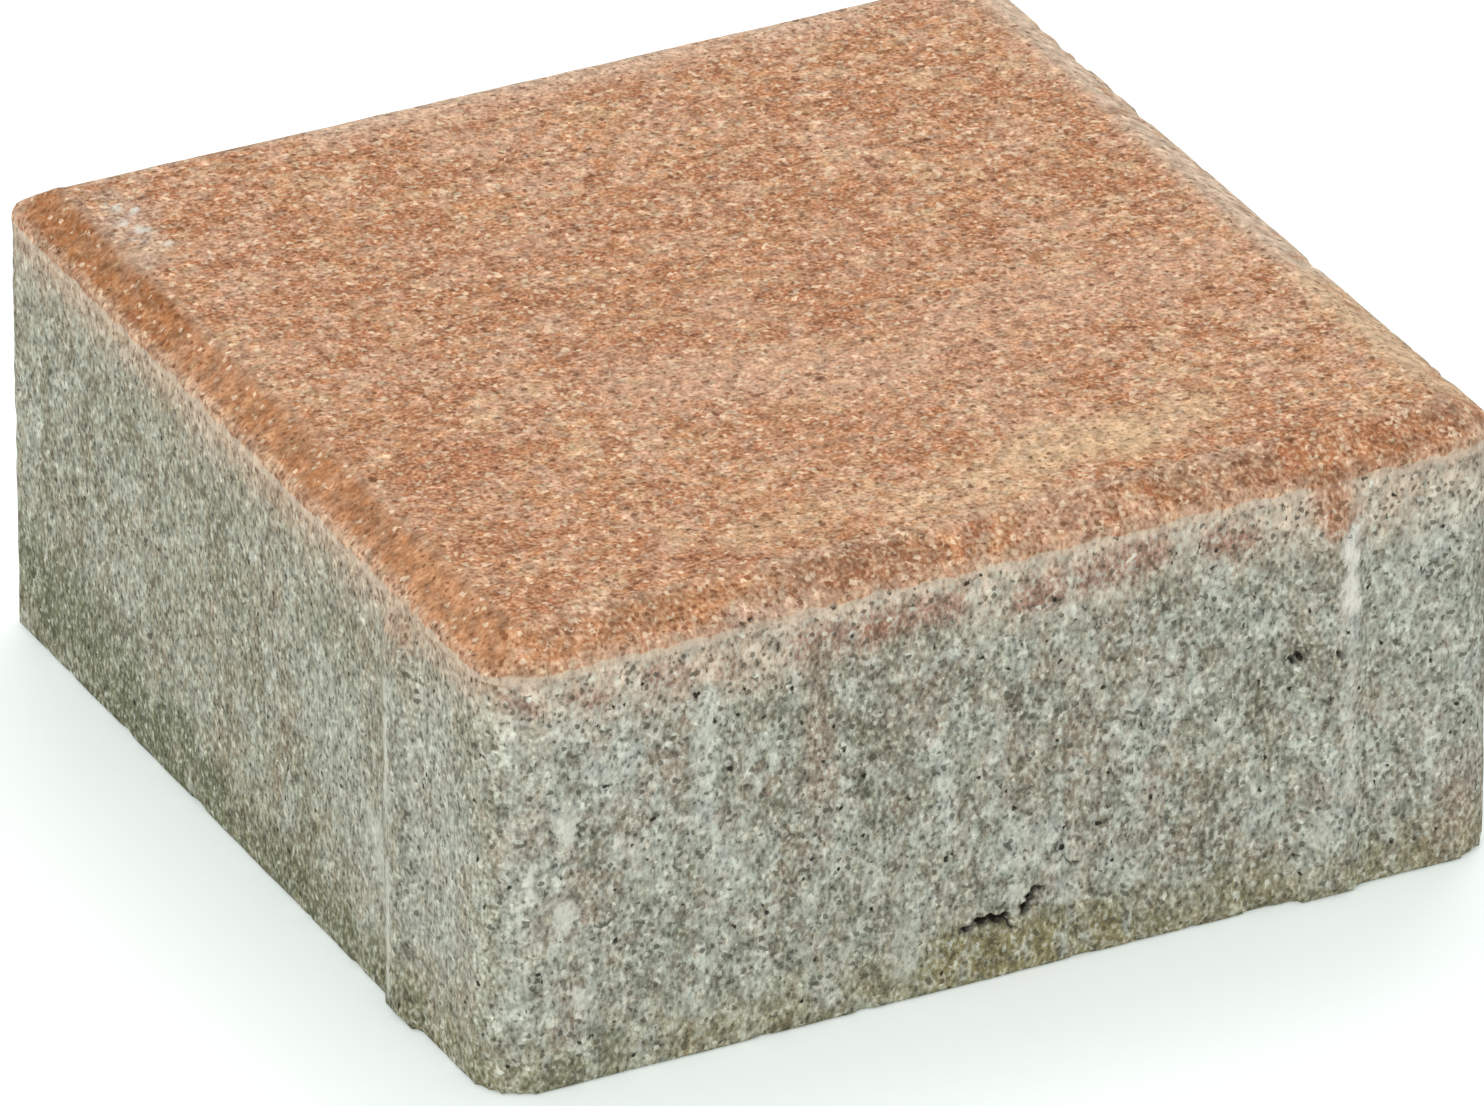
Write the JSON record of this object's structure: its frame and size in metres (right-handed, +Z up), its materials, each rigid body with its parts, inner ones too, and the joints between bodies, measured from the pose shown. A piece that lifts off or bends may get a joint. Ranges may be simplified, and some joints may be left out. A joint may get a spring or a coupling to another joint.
{
  "type": "concrete paving stone",
  "caption": "Square concrete paving stone with a chamfered terracotta-coloured top, rounded upright corners and tapered spacer ribs on its grey sides.",
  "frame": {"origin": "middle of the bed face, at the level the stone lies on", "axes": "+Z up from the bed face to the top face; -Y is the side that faces right in the picture and -X the side that faces left"},
  "size_m": [0.184, 0.184, 0.08],
  "materials": {
    "concrete": "matte"
  },
  "bodies": {
    "root": {"paving_stone": "concrete"}
  },
  "joints": []
}
